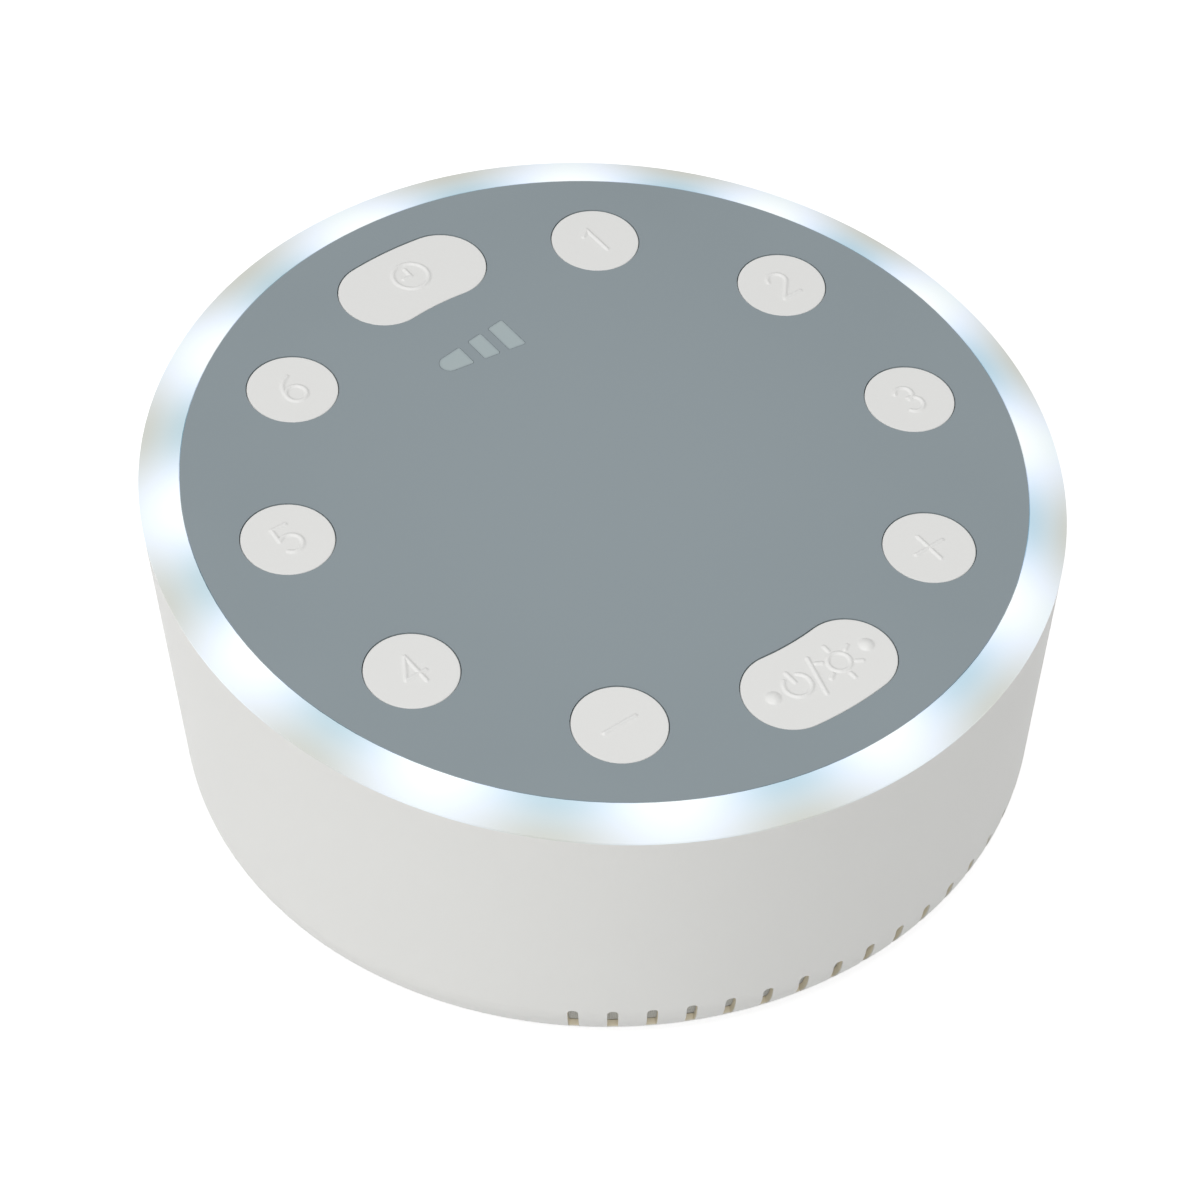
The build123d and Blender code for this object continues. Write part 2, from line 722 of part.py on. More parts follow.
def make_battery_door():
    """The door in the underside: round hinge edge with two pins, latch tongue, finger grip."""
    front = bay_front + door_gap
    z_span = (foot_height, floor_top)
    door = block((-door_half_length, door_half_length), (front, hinge_y), z_span)
    door += lying(wall / 2, -door_half_length, door_half_length, hinge_y, hinge_z)
    pin_end = door_half_length + door_gap + hinge_pin_reach
    door += lying(hinge_pin_radius, -pin_end, pin_end, hinge_y, hinge_z)
    tongue_front = front + latch_set_back
    door += block((-latch_width / 2, latch_width / 2), (tongue_front, tongue_front + latch_thickness),
                  (floor_top - 0.5, floor_top + latch_height))
    grip = lying(grip_radius, -grip_width / 2, grip_width / 2, front + grip_inset, foot_height)
    grip &= block((-grip_width, grip_width), (front, hinge_y), (0, foot_height + grip_depth))
    return door - grip


# ------------------------------------------------------------------- inlet at the rear
power_board_top = inlet_height - inlet_thickness / 2
power_board_under = power_board_top - power_board_thickness
power_post_y = power_board_front + 3.5


def rounded_bar(width, thickness, y_from, y_to):
    """A bar along Y with round sides, centred on the inlet's height."""
    face = Plane.XZ * SlotOverall(width, thickness)
    bar = extrude(face, -(y_to - y_from))
    return Pos(0, y_from, inlet_height) * bar


def make_inlet_socket():
    """A small oval charging inlet with its inner tongue."""
    back = inlet_mouth_y - inlet_depth
    shell = rounded_bar(inlet_width, inlet_thickness, back, inlet_mouth_y)
    shell -= rounded_bar(inlet_width - 0.6, inlet_thickness - 0.6, back + 1, inlet_mouth_y + 1)
    return shell + block((-3.35, 3.35), (back + 0.5, inlet_mouth_y - 0.8),
                         (inlet_height - 0.35, inlet_height + 0.35))


def power_screw_spots():
    return [(side * power_post_x, power_post_y) for side in (-1, 1)]


def make_power_board():
    half = power_board_width / 2
    board = block((-half, half), (power_board_front, power_board_rear),
                  (power_board_under, power_board_top))
    for x, y in power_screw_spots():
        board -= upright(power_screw_radius + screw_play, 0, clear_height, x, y)
    return board


def make_power_chips():
    """Charging chip, coil and two small capacitors on the power board."""
    half = charge_chip_side / 2
    front = power_board_front + charge_chip_inset
    pieces = [block((-half, half), (front, front + charge_chip_side),
                    (power_board_top, power_board_top + 2.2))]
    for x in (-6.0, 6.0):
        y = power_board_rear - 3.0
        pieces.append(upright(1.4, power_board_top, power_board_top + 2.6, x, y))
    return joined(pieces)


def make_power_screws():
    screws = []
    for x, y in power_screw_spots():
        screw = upright(power_screw_head_radius, power_board_top, power_board_top + 1.2, x, y)
        screws.append(screw + upright(power_screw_radius, power_board_top - power_screw_length,
                                      power_board_top, x, y))
    return joined(screws)


# ------------------------------------------------------------------------------ wires
def socket_end(spot, side):
    """The last run of a wire: straight into a connector, at right angles to the board."""
    x, y = spot
    mouth = -board_under - connector_size[2]
    places = [top_plane.location * Pos(x + side * wire_spread, y, mouth - away)
              for away in (socket_run, 0)]
    return [tuple(place.position) for place in places]


def make_speaker_leads():
    """Two wires from the board to the speaker's terminal strip."""
    start_z = flange_top + terminal_thickness
    wires = []
    for side in (-1, 1):
        foot = (side * 2.0, terminal_y, start_z)
        rise = (foot[0], terminal_y, start_z + socket_run)
        wires.append(wire([foot, rise] + socket_end(speaker_socket_spot, side)))
    return joined(wires)


def make_battery_leads():
    """Two wires from the tabs of the bay to the board."""
    tab_top = bay_ceiling + bay_wall + contact_tab_rise
    wires = []
    for end, y_tab in ((-1, cell_ys[0]), (1, cell_ys[-1])):
        tab_x = end * (bay_half_length - contact_thickness / 2)
        foot = (tab_x, y_tab, tab_top)
        rise = (tab_x, y_tab, tab_top + socket_run)
        wires.append(wire([foot, rise] + socket_end(battery_socket_spot, end)))
    return joined(wires)


def make_power_leads():
    """Two wires from the power board up to the control board."""
    wires = []
    for side in (-1, 1):
        foot = (side * 4.5, power_board_front + 1.5, power_board_top)
        rise = (foot[0], foot[1], foot[2] + socket_run)
        wires.append(wire([foot, rise] + socket_end(power_socket_spot, side)))
    return joined(wires)


# ---------------------------------------------------------------------------- housing
def make_case_screws():
    """Long screws from under the feet into the panel's bosses."""
    screws = []
    for x, y in screw_spots:
        head_low = screw_seat_height - case_screw_head_height
        screw = upright(case_screw_head_radius, head_low, screw_seat_height, x, y)
        screw += upright(case_screw_radius, screw_seat_height, screw_seat_height + case_screw_length,
                         x, y)
        screws.append(screw)
    return joined(screws)


def make_rubber_feet():
    """Flat feet that also cover the case screws."""
    feet = []
    for x, y in screw_spots:
        foot = upright(foot_radius, 0, foot_height + foot_recess, x, y)
        rim = foot.edges().group_by(Axis.Z)[0]
        feet.append(fillet(rim, 0.4))
    return joined(feet)


def sound_window(angle):
    """A cutter for one window: from its sloping sill on the rounded corner up the wall."""
    sill_z, high = foot_height + window_bottom, foot_height + window_top
    corner_centre = base_radius - corner_radius
    sill_reach = corner_centre + (corner_radius ** 2 - (corner_height - sill_z) ** 2) ** 0.5
    outline = Pos(0, high - window_top / 2) * Rectangle(window_width, window_top)
    upper = outline.vertices().group_by(Axis.Y)[-1]
    outline = fillet(upper, window_corner_radius)
    cutter = extrude(Plane.YZ.offset(corner_centre) * outline, rim_radius)
    below = block((-rim_radius, rim_radius), (-window_width, window_width), (-rim_radius, 0))
    cutter -= Pos(sill_reach, 0, sill_z) * Rot(0, window_sill_slope, 0) * below
    return Rot(0, 0, angle) * cutter


def screen_band(outer_inset, inner_inset, play):
    """A band that lines the wall behind the windows, between two insets from its outside."""
    low, high = floor_top, foot_height + screen_top - play
    half_angle = ((window_count - 1) / 2 * window_pitch + screen_overlap
                  - degrees(play / rim_radius))
    far = 3 * rim_radius
    wedge = Polygon((0, 0), polar(far, -90 - half_angle), polar(far, -90 + half_angle), align=None)
    sector = Pos(0, 0, low) * extrude(wedge, high - low)
    return (bowl(outer_inset) - bowl(inner_inset)) & sector


def make_dust_screen():
    """A woven screen glued into a recess of the wall behind the sound windows."""
    face = screen_wall + screen_play
    return screen_band(face, face + screen_thickness, screen_play)


def speaker_grille():
    """Cutters for the slots in the floor: parallel, with round ends that follow a circle."""
    radius = flange_inner_radius - grille_margin
    pitch = 2 * radius / grille_slots
    cutters = []
    for k in range(grille_slots):
        x = (k - (grille_slots - 1) / 2) * pitch
        outline = Rot(0, 0, 90) * SlotOverall(2 * (radius ** 2 - x ** 2) ** 0.5, grille_slot_width)
        cutters.append(Pos(x, speaker_y, 0) * extrude(outline, floor_top + 1))
    return cutters


def make_housing():
    """The bowl, with sound openings, speaker seat, battery bay, posts and inlet opening."""
    below_seam = on_slope(upright(2 * rim_radius, -3 * top_height, -seam_depth))
    shell = (bowl(0) & below_seam) - bowl(wall)
    shell -= screen_band(screen_wall, wall, 0)
    for k in range(window_count):
        shell -= sound_window(-90 + (k - (window_count - 1) / 2) * window_pitch)
    for cutter in speaker_grille():
        shell -= cutter
    # speaker seat
    shell += tube(speaker_radius, flange_inner_radius, floor_top - 0.4, seat_top, 0, speaker_y)
    for x, y in speaker_screw_spots():
        shell -= upright(speaker_screw_radius + screw_play, floor_top + 0.3, seat_top + 1, x, y)
    # battery bay
    outer_x = bay_half_length + bay_wall
    shell += block((-outer_x, outer_x), (bay_front - bay_wall, bay_rear + bay_wall),
                   (floor_top - 0.4, bay_ceiling + bay_wall))
    shell -= block((-bay_half_length, bay_half_length), (bay_front, bay_rear),
                   (floor_top, bay_ceiling))
    shell -= block((-opening_half_length, opening_half_length), (bay_front, bay_rear),
                   (0, floor_top + 1))
    pin_hole = opening_half_length + hinge_pin_reach + 0.3
    shell -= lying(hinge_pin_radius + hinge_play, -pin_hole, pin_hole, hinge_y, hinge_z)
    for end, y_tab in ((-1, cell_ys[0]), (1, cell_ys[-1])):
        x_span = sorted((end * (plate_face - 0.2), end * bay_half_length))
        half = contact_tab_width / 2 + 0.2
        shell -= block(x_span, (y_tab - half, y_tab + half), (bay_ceiling - 1, clear_height))
    # posts for the case screws, with recesses for the feet
    for x, y in screw_spots:
        shell += upright(post_radius, floor_top - 0.4, post_top, x, y)
        shell -= upright(foot_radius + foot_play, 0, foot_height + foot_recess, x, y)
        shell -= upright(case_screw_head_radius + head_play, 0, screw_seat_height, x, y)
        shell -= upright(case_screw_radius + screw_play, 0, post_top + 1, x, y)
    # posts for the power board
    for x, y in power_screw_spots():
        shell += upright(power_post_radius, floor_top - 0.4, power_board_under, x, y)
        pilot_low = power_board_top - power_screw_length - 0.5
        shell -= upright(power_screw_radius + screw_play, pilot_low, power_board_under + 1, x, y)
    # inlet opening
    play = 2 * inlet_opening_play
    shell -= rounded_bar(inlet_width + play, inlet_thickness + play, power_board_rear,
                         inlet_mouth_y + wall)
    return shell


# ----------------------------------------------------------------------------- export
parts = {
    "housing": make_housing(),
    "light_ring": make_light_ring(),
    "top_panel": make_top_panel(),
    "indicator_lens": make_indicator_lens(),
    "keypad_mat": make_keypad_mat(),
    "key_contacts": make_key_contacts(),
    "control_board": make_control_board(),
    "ring_leds": make_ring_leds(),
    "indicator_leds": make_indicator_leds(),
    "sound_chip": make_sound_chip(),
    "board_capacitors": make_board_capacitors(),
    "wire_connectors": make_wire_connectors(),
    "board_screws": make_board_screws(),
    "speaker_basket": make_speaker_basket(),
    "speaker_gasket": make_speaker_gasket(),
    "speaker_surround": make_speaker_surround(),
    "speaker_cone": make_speaker_cone(),
    "speaker_dust_cap": make_speaker_dust_cap(),
    "speaker_voice_coil": make_voice_coil(),
    "speaker_front_plate": make_speaker_front_plate(),
    "speaker_magnet": make_speaker_magnet(),
    "speaker_yoke": make_speaker_yoke(),
    "speaker_terminals": make_speaker_terminals(),
    "speaker_screws": make_speaker_screws(),
    "battery_contacts": make_battery_contacts(),
    "battery_springs": make_battery_springs(),
    "battery_door": make_battery_door(),
    "power_board": make_power_board(),
    "power_chips": make_power_chips(),
    "power_screws": make_power_screws(),
    "inlet_socket": make_inlet_socket(),
    "speaker_leads": make_speaker_leads(),
    "battery_leads": make_battery_leads(),
    "power_leads": make_power_leads(),
    "case_screws": make_case_screws(),
    "rubber_feet": make_rubber_feet(),
    "dust_screen": make_dust_screen(),
}
for number in range(cell_count):
    parts[f"battery_cell_{number + 1}"] = make_cell(number)
for key_name in key_order:
    parts[key_name] = make_key(key_name)

os.makedirs("parts", exist_ok=True)
for part_name, shape in parts.items():
    export_step(shape, f"parts/{part_name}.step")
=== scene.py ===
"""Looks of the white noise sound machine: moulded keys with raised signs, finishes and studio.

Lengths in the helpers are millimetres; meshes are in metres in the row frame.
"""
import json
import math

import bpy
import numpy as np
from mathutils import Matrix, Vector


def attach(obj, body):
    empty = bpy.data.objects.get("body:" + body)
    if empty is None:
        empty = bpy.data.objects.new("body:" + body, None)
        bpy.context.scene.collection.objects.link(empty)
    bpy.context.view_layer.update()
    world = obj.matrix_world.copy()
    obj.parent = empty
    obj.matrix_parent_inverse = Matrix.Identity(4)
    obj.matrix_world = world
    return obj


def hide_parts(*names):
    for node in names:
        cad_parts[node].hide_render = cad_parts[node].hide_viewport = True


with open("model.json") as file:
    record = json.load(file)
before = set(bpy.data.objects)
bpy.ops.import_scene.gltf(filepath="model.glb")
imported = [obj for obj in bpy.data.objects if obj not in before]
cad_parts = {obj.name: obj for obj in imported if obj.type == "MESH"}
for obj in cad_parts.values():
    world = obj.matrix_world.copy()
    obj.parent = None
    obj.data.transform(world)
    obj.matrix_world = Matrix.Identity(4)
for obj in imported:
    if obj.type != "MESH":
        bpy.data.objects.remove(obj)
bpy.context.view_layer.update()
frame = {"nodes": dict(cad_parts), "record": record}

MM = 0.001
SLOPE = math.radians(5.6)        # fall of the panel towards the front
PANEL_Z = 53.8                   # height of the panel's face at its centre
POCKET_RADIUS = 59.5             # where the panel ends and the ring starts
RIM_RADIUS = 65.0                # outside of the ring
KEY_CIRCLE = 46.4                # radius of the circle that the keys stand on
KEY_PITCH = 36.0                 # degrees from one key to the next
KEY_RADIUS = 6.5
OBLONG_REACH = 6.6               # half the width of an oblong key
OBLONG_HALF_ANGLE = math.radians(6.5)    # from its middle to the centre of a round end
KEY_SINK = 0.06                  # key tops below the panel's face
KEY_EDGE = 0.15                  # rounding of a key's top edge
FLANGE_REACH = 1.32              # from the key's outline to the edge of its flange
FLANGE_TOP = 1.75                # this and the next depths are under the panel's face
FLANGE_UNDER = 2.75
STEM_RADIUS = 2.4
STEM_ROOT = 0.3                  # how far a stem reaches up into its flange
STEM_END = 3.9
PILL_RADIUS = 1.8
PILL_TOP = 4.4
PILL_UNDER = 4.98
POST_SIDES = 48
STROKE_REACH = 0.46              # half the width of a raised line
STROKE_HEIGHT = 0.2
DOT_RADIUS = 1.15
DOT_HEIGHT = 0.42
LED_COUNT = 12
WALL_SLANT = 2.5 / 43.0          # how far the wall leans out for each millimetre up
CORNER_HEIGHT = 10.8             # where the rounded lower corner meets the wall
CORNER_RADIUS = 9.8
BASE_RADIUS = 62.5               # outside of the wall at that height
BAR_CENTRE = 28.95               # middle line of the level indicator, in the panel's plane
BAR_TIP = (-5.9, 1.5)            # middle and radius of its round left end
BAR_RIGHT = (5.6, 2.95)          # its right end and half height there
BAR_SPANS = ((-7.4, -2.85), (-1.15, 1.4), (2.85, 5.6))
THREAD_PITCH = 0.25              # of the screen behind the sound windows
DRIFT_SCALE = 35                 # patches of slightly lighter and darker plastic, per metre
GRAIN_SCALE = 2600               # spark-eroded grain of the moulds, per metre

KEY_ORDER = ["key_timer", "key_sound_1", "key_sound_2", "key_sound_3", "key_volume_up",
             "key_power", "key_volume_down", "key_sound_4", "key_sound_5", "key_sound_6"]
OBLONG_KEYS = ("key_timer", "key_power")


# ---------------------------------------------------------------------------- surfaces
def lay_on_slope(x, y, z):
    """Points drawn in the panel's plane, in the row frame: turned by the slope about X,
    so y' = y cos s - z sin s and z' = y sin s + z cos s, and raised to the panel."""
    c, s = math.cos(SLOPE), math.sin(SLOPE)
    laid = np.broadcast_arrays(x, y * c - z * s, PANEL_Z + y * s + z * c)
    return np.stack(laid, -1) * MM


def closed_faces(rings, around, first):
    """Faces of a surface that runs from one pole over rings of points to another pole.
    The poles are the last two points; each quad joins neighbours on two rings."""
    i, j = np.meshgrid(np.arange(rings - 1), np.arange(around), indexing="ij")
    k = (j + 1) % around
    quads = np.stack([i * around + j, (i + 1) * around + j,
                      (i + 1) * around + k, i * around + k], -1).reshape(-1, 4) + first
    j = np.arange(around)
    k = (j + 1) % around
    top = np.full(around, rings * around)
    low = (rings - 1) * around
    cap = np.stack([top, j, k], -1) + first
    base = np.stack([top + 1, low + k, low + j], -1) + first
    return quads.tolist() + cap.tolist() + base.tolist()


def mesh_piece(name, points, faces, sharp=40.0):
    """A piece from points in metres, smooth but for edges over the sharp angle."""
    mesh = bpy.data.meshes.new(name)
    mesh.from_pydata(points.tolist(), [], faces)
    mesh.polygons.foreach_set("use_smooth", np.ones(len(mesh.polygons), bool))
    mesh.set_sharp_from_angle(angle=math.radians(sharp))
    mesh.update()
    piece = bpy.data.objects.new(name, mesh)
    bpy.context.scene.collection.objects.link(piece)
    return piece


# ------------------------------------------------------------------------------- signs
def arc(cx, cy, radius, start, end, steps=20):
    """A chain of points on a circle: centre + radius (cos a, sin a), a from start to end."""
    a = np.radians(np.linspace(start, end, steps + 1))
    return np.stack([cx + radius * np.cos(a), cy + radius * np.sin(a)], -1)


def bend(p, q, r, steps=14):
    """A chain on the quadratic curve (1-t)^2 p + 2 t (1-t) q + t^2 r."""
    t = np.linspace(0, 1, steps + 1)[:, None]
    p, q, r = (np.array(v, float) for v in (p, q, r))
    return (1 - t) ** 2 * p + 2 * t * (1 - t) * q + t ** 2 * r


DIGITS = {
    "key_sound_1": [[(-1.0, 1.5), (0.35, 2.5), (0.35, -2.5)]],
    "key_sound_2": [np.vstack([arc(0, 1.1, 1.4, 165, -35), [(-1.45, -2.5), (1.5, -2.5)]])],
    "key_sound_3": [arc(-0.1, 1.22, 1.28, 150, -90), arc(-0.1, -1.12, 1.38, 90, -150)],
    "key_sound_4": [[(0.65, -2.5), (0.65, 2.5), (-1.6, -0.95), (1.6, -0.95)]],
    "key_sound_5": [np.vstack([[(1.25, 2.5), (-0.95, 2.5), (-1.2, 0.2)],
                               arc(0, -0.9, 1.58, 128, -140)])],
    "key_sound_6": [arc(0, -1.0, 1.5, 0, 360, 28), bend((-1.5, -1.0), (-1.5, 1.5), (0.8, 2.5))],
}


def power_sign(cx, cy, radius):
    """A ring open at the top, with a bar that stands in the opening."""
    return [arc(cx, cy, radius, 125, 415, 28), [(cx, cy + 0.65), (cx, cy + radius + 0.55)]]


def sun_sign(cx, cy, radius=1.6, ray_from=2.35, ray_to=3.2):
    """A small ring with six short rays round it."""
    rays = [[(cx + r * math.cos(a), cy + r * math.sin(a)) for r in (ray_from, ray_to)]
            for a in (math.radians(30 + 60 * k) for k in range(6))]
    return [arc(cx, cy, radius, 0, 360, 28)] + rays


def strokes_of(name):
    """The lines of a key's raised sign, as chains of points from the key's centre."""
    if name in DIGITS:
        return DIGITS[name]
    if name == "key_volume_up":
        return [[(-2.4, 0), (2.4, 0)], [(0, -2.4), (0, 2.4)]]
    if name == "key_volume_down":
        return [[(-2.6, 0), (2.6, 0)]]
    if name == "key_timer":
        return [arc(0.2, 0.4, 2.65, 0, 360, 36), [(0.2, 2.0), (0.2, 0.4), (-1.1, 0.4)]]
    return power_sign(-3.7, 0.4, 1.95) + [[(0.35, 3.2), (-1.45, -2.9)]] + sun_sign(3.5, 0.3)


def dots_of(name):
    """The middles of a key's raised dots; only the power key has some, one at each end."""
    return [(-7.8, 0.6), (8.5, 0.5)] if name == "key_power" else []


def raised_sign(x, y, name):
    """Height of the sign over the key's face. A stroke is a round ridge, h cos^2(pi d / 2w)
    at a distance d under w from its line, and a dot is a low dome, h (1 - (r / w)^2)."""
    nearest = np.full(x.shape, 1e9)
    for chain in strokes_of(name):
        chain = np.asarray(chain, float)
        for a, b in zip(chain[:-1], chain[1:]):
            ab = b - a
            t = np.clip(((x - a[0]) * ab[0] + (y - a[1]) * ab[1]) / (ab @ ab), 0, 1)
            nearest = np.minimum(nearest, np.hypot(x - a[0] - t * ab[0], y - a[1] - t * ab[1]))
    height = STROKE_HEIGHT * np.cos(np.pi / 2 * np.minimum(nearest / STROKE_REACH, 1)) ** 2
    for cx, cy in dots_of(name):
        dome = DOT_HEIGHT * (1 - (np.hypot(x - cx, y - cy) / DOT_RADIUS) ** 2)
        height = np.maximum(height, dome)
    return height


# -------------------------------------------------------------------------------- keys
def key_bearing(name):
    """Where a key stands round the circle, clockwise from the timer key at the back."""
    return math.radians(90 - KEY_ORDER.index(name) * KEY_PITCH)


def oblong_reach_out(angle, reach, farthest=30.0, halvings=40):
    """How far an oblong outline lies from its centre at each angle, by halving: a point is
    inside while it is within reach of the arc that the key follows round the panel."""
    end = (KEY_CIRCLE * math.sin(OBLONG_HALF_ANGLE),
           KEY_CIRCLE * math.cos(OBLONG_HALF_ANGLE) - KEY_CIRCLE)
    low, high = np.zeros_like(angle), np.full_like(angle, farthest)
    for _ in range(halvings):
        r = (low + high) / 2
        x, y = r * np.cos(angle), r * np.sin(angle)
        turn = np.abs(np.arctan2(x, KEY_CIRCLE + y))
        from_arc = np.abs(np.hypot(x, KEY_CIRCLE + y) - KEY_CIRCLE)
        from_end = np.hypot(np.abs(x) - end[0], y - end[1])
        inside = np.where(turn < OBLONG_HALF_ANGLE, from_arc, from_end) < reach
        low, high = np.where(inside, r, low), np.where(inside, high, r)
    return (low + high) / 2


def posts(name, radius, top, under, first=0):
    """Closed cylinders between two depths under the panel, one at each of a key's stems: one
    for a round key and two for an oblong one. Their points are numbered from first."""
    points, faces = [], []
    a = np.arange(POST_SIDES) * 2 * np.pi / POST_SIDES
    depths = -np.array([top, under])
    for shift in (-OBLONG_HALF_ANGLE, OBLONG_HALF_ANGLE) if name in OBLONG_KEYS else (0.0,):
        bearing = key_bearing(name) + shift
        x, y = KEY_CIRCLE * math.cos(bearing), KEY_CIRCLE * math.sin(bearing)
        wall = lay_on_slope(x + radius * np.cos(a), y + radius * np.sin(a), depths[:, None])
        ends = lay_on_slope(x, y, depths)
        faces += closed_faces(2, POST_SIDES, first + sum(len(p) for p in points))
        points.append(np.vstack([wall.reshape(-1, 3), ends]))
    return points, faces


def key_cap(name):
    """A key as one closed surface in polar form round its centre. Its outline is r(a) at an
    offset; rings on the face are t r(a), lifted by the sign, then the edge is a quarter
    round, and the side, the flange and the underside follow. The stems are cylinders."""
    bearing = key_bearing(name)
    cx, cy = KEY_CIRCLE * math.cos(bearing), KEY_CIRCLE * math.sin(bearing)
    oblong = name in OBLONG_KEYS
    around, face_rings = (560, 110) if oblong else (400, 66)
    angle = np.arange(around) * 2 * np.pi / around

    def outline(offset):
        if oblong:
            return oblong_reach_out(angle - bearing + np.pi / 2, OBLONG_REACH + offset)
        return np.full(around, KEY_RADIUS + offset)

    face = outline(-KEY_EDGE)
    radii = [face * t for t in np.linspace(1 / face_rings, 1, face_rings)]
    depths = [KEY_SINK] * face_rings
    for step in np.radians(np.arange(15, 91, 15)):
        radii.append(outline(KEY_EDGE * (math.sin(step) - 1)))
        depths.append(KEY_SINK + KEY_EDGE * (1 - math.cos(step)))
    for offset, depth in ((0, FLANGE_TOP), (FLANGE_REACH, FLANGE_TOP),
                          (FLANGE_REACH, FLANGE_UNDER)):
        radii.append(outline(offset))
        depths.append(depth)
    radii = np.array(radii)
    x, y = radii * np.cos(angle), radii * np.sin(angle)
    z = -np.array(depths)[:, None] * np.ones_like(x)
    z[:face_rings] += raised_sign(x[:face_rings], y[:face_rings], name)
    centre = -KEY_SINK + raised_sign(np.zeros(1), np.zeros(1), name)[0]
    rings = lay_on_slope(cx + x, cy + y, z).reshape(-1, 3)
    poles = lay_on_slope(cx, cy, np.array([centre, -FLANGE_UNDER]))
    points = [np.vstack([rings, poles])]
    faces = closed_faces(len(radii), around, 0)
    stems, stem_faces = posts(name, STEM_RADIUS, FLANGE_UNDER - STEM_ROOT, STEM_END, len(points[0]))
    points += stems
    faces += stem_faces
    return mesh_piece(name + "_cap", np.vstack(points), faces)


def key_pills(name):
    """The carbon pills of a key, flat discs bonded under the mat where its stems press."""
    points, faces = posts(name, PILL_RADIUS, PILL_TOP, PILL_UNDER)
    return mesh_piece(name + "_pills", np.vstack(points), faces)


# --------------------------------------------------------------------------- materials
class Value:
    """A number socket that adds a Math node for each operator used on it."""

    def __init__(self, finish, socket):
        self.finish, self.socket = finish, socket

    def _join(self, operation, first, second):
        return self.finish.add("ShaderNodeMath", {"operation": operation}, {0: first, 1: second})

    def __add__(self, other):
        return self._join("ADD", self, other)

    def __sub__(self, other):
        return self._join("SUBTRACT", self, other)

    def __mul__(self, other):
        return self._join("MULTIPLY", self, other)

    def __truediv__(self, other):
        return self._join("DIVIDE", self, other)

    def __pow__(self, other):
        return self._join("POWER", self, other)

    def do(self, operation, other=0.0):
        return self._join(operation, self, other)

    def least(self, other):
        return self._join("MINIMUM", self, other)

    def most(self, other):
        return self._join("MAXIMUM", self, other)

    def ramp(self, low, high, start=0.0, end=1.0):
        """start below low, end above high, with a smooth turn between them."""
        return self.finish.add("ShaderNodeMapRange", {"interpolation_type": "SMOOTHSTEP"},
                               {"Value": self, "From Min": low, "From Max": high,
                                "To Min": start, "To Max": end})


def srgb(red, green, blue):
    """A colour written in 0 to 255 steps, as the linear values that a socket takes."""
    c = np.array([red, green, blue]) / 255
    linear = np.where(c <= 0.04045, c / 12.92, ((c + 0.055) / 1.055) ** 2.4)
    return (*linear.tolist(), 1.0)


class Finish:
    """One material with a Principled shader, and the means to add nodes to it."""

    def __init__(self, name, colour, roughness=0.5, metallic=0.0):
        self.material = bpy.data.materials.new(name)
        self.material.use_nodes = True
        self.tree = self.material.node_tree
        self.shader = self.tree.nodes["Principled BSDF"]
        self.set("Base Color", colour)
        self.set("Roughness", roughness)
        self.set("Metallic", metallic)

    def set(self, socket, value):
        if isinstance(value, Value):
            self.tree.links.new(value.socket, self.shader.inputs[socket])
        else:
            self.shader.inputs[socket].default_value = value

    def add(self, kind, settings=None, inputs=None, output=0):
        """A node of that kind: its settings first, then a value or a link for each input."""
        node = self.tree.nodes.new(kind)
        for key, value in (settings or {}).items():
            setattr(node, key, value)
        for key, value in (inputs or {}).items():
            if isinstance(value, Value):
                self.tree.links.new(value.socket, node.inputs[key])
            else:
                node.inputs[key].default_value = value
        return Value(self, node.outputs[output])

    def place(self):
        """The object's own coordinates, which are the row frame in metres."""
        return self.add("ShaderNodeTexCoord", output="Object")

    def split(self, vector):
        return [self.add("ShaderNodeSeparateXYZ", inputs={0: vector}, output=k) for k in range(3)]

    def noise(self, scale, detail=2.0):
        return self.add("ShaderNodeTexNoise", inputs={
            "Vector": self.place(), "Scale": scale, "Detail": detail})

    def mix(self, factor, first, second, blend="MIX"):
        """Two colours mixed, or blended in another way, by a factor."""
        node = self.tree.nodes.new("ShaderNodeMix")
        node.data_type, node.blend_type = "RGBA", blend
        for key, value in ((0, factor), (6, first), (7, second)):
            if isinstance(value, Value):
                self.tree.links.new(value.socket, node.inputs[key])
            else:
                node.inputs[key].default_value = value
        return Value(self, node.outputs[2])

    def bump(self, height, distance):
        """Fine relief: a height of 0 to 1 that stands up by the distance in metres."""
        normal = self.add("ShaderNodeBump", inputs={"Strength": 1.0, "Distance": distance,
                                                    "Height": height})
        self.set("Normal", normal)


def tinted(finish, colour, scale, spread):
    """A colour that drifts a little lighter and darker over the surface."""
    darker = tuple(c * (1 - spread) for c in colour[:3]) + (1.0,)
    lighter = tuple(min(1, c * (1 + spread)) for c in colour[:3]) + (1.0,)
    finish.set("Base Color", finish.mix(finish.noise(scale), darker, lighter))


def moulded(name, colour, roughness, grain=0.000012, grain_scale=GRAIN_SCALE, spread=0.012):
    """Moulded plastic: fine spark-eroded grain and a faint drift of shade."""
    finish = Finish(name, colour, roughness)
    tinted(finish, colour, DRIFT_SCALE, spread)
    finish.bump(finish.noise(grain_scale, 1.0), grain)
    return finish.material


def metal(name, colour, roughness, scale=900):
    """Bare metal, a little duller in some places than in others."""
    finish = Finish(name, colour, roughness, metallic=1.0)
    finish.set("Roughness", finish.noise(scale).ramp(0.2, 0.8, roughness - 0.06, roughness + 0.08))
    return finish.material


def on_panel(finish):
    """Where a point lies in the panel's plane, in millimetres: to the right and up it."""
    x, y, z = finish.split(finish.place())
    up = y * math.cos(SLOPE) + (z - PANEL_Z * MM) * math.sin(SLOPE)
    return x * 1000, up * 1000


